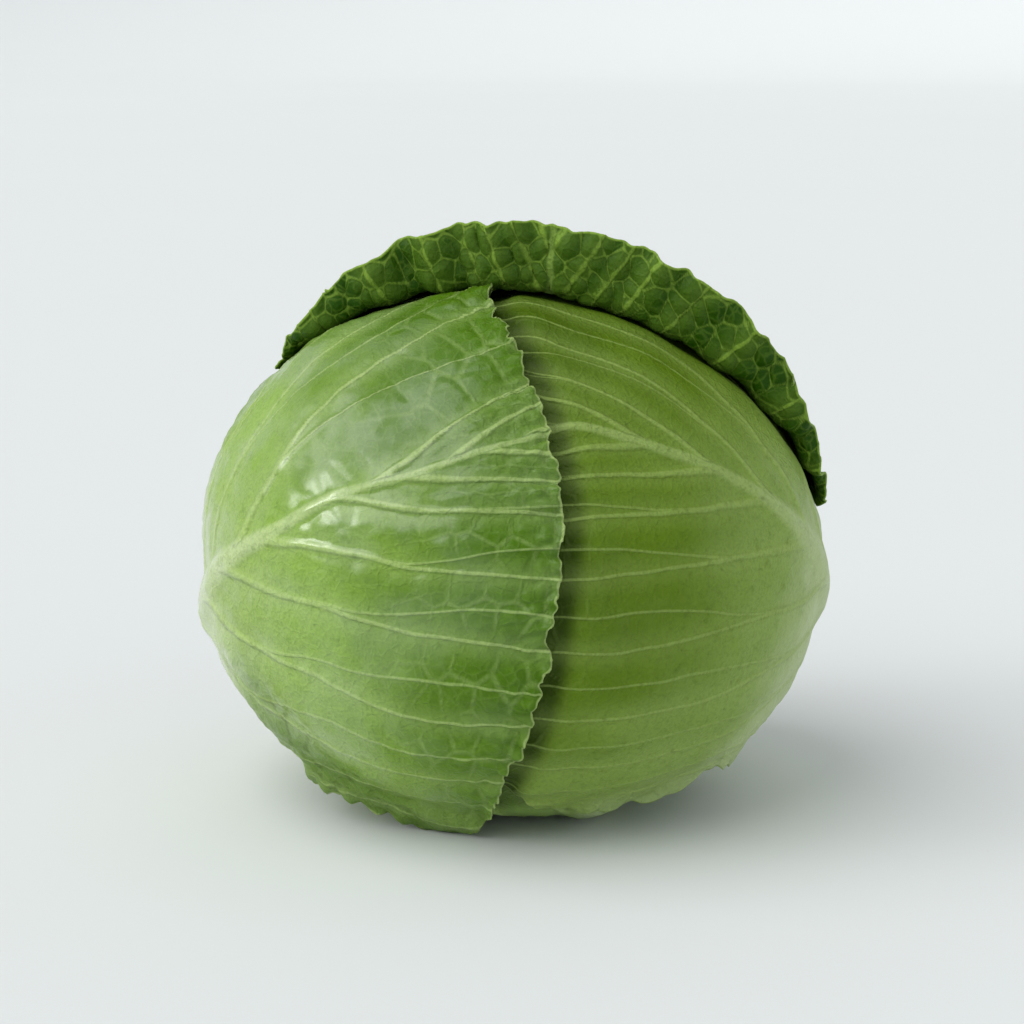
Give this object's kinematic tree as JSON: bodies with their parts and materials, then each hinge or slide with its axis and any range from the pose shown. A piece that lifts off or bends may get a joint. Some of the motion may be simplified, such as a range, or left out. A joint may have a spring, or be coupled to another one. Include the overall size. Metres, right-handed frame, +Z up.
{
  "type": "cabbage head",
  "caption": "Round green cabbage head lying on its side, its wrapper leaves overlapping around a cut stem and its outer back leaf turned out in a dark brim.",
  "frame": {"origin": "middle of the small flat spot that the head rests on", "axes": "+Z up, away from the surface the head rests on; the front, where the two large front leaves meet, faces -Y; +X to the right as seen from the front; the stem points back (+Y) and down"},
  "size_m": [0.1519, 0.1482, 0.1416],
  "materials": {
    "heart": "pale leaf, satin",
    "stem": "fibrous cut stem, dull",
    "front_left_leaf": "waxy green leaf with pale veins, satin to glossy",
    "front_right_leaf": "waxy olive green leaf with pale veins, satin",
    "outer_back_leaf": "dark green puckered leaf with a light edge, satin",
    "base_leaf": "waxy green leaf, satin",
    "left_shoulder_leaf": "waxy light green leaf, satin",
    "right_shoulder_leaf": "waxy light green leaf, satin"
  },
  "bodies": {
    "root": {"heart": "heart", "stem": "stem", "front_left_leaf": "front_left_leaf", "front_right_leaf": "front_right_leaf", "outer_back_leaf": "outer_back_leaf", "base_leaf": "base_leaf", "left_shoulder_leaf": "left_shoulder_leaf", "right_shoulder_leaf": "right_shoulder_leaf"}
  },
  "joints": []
}
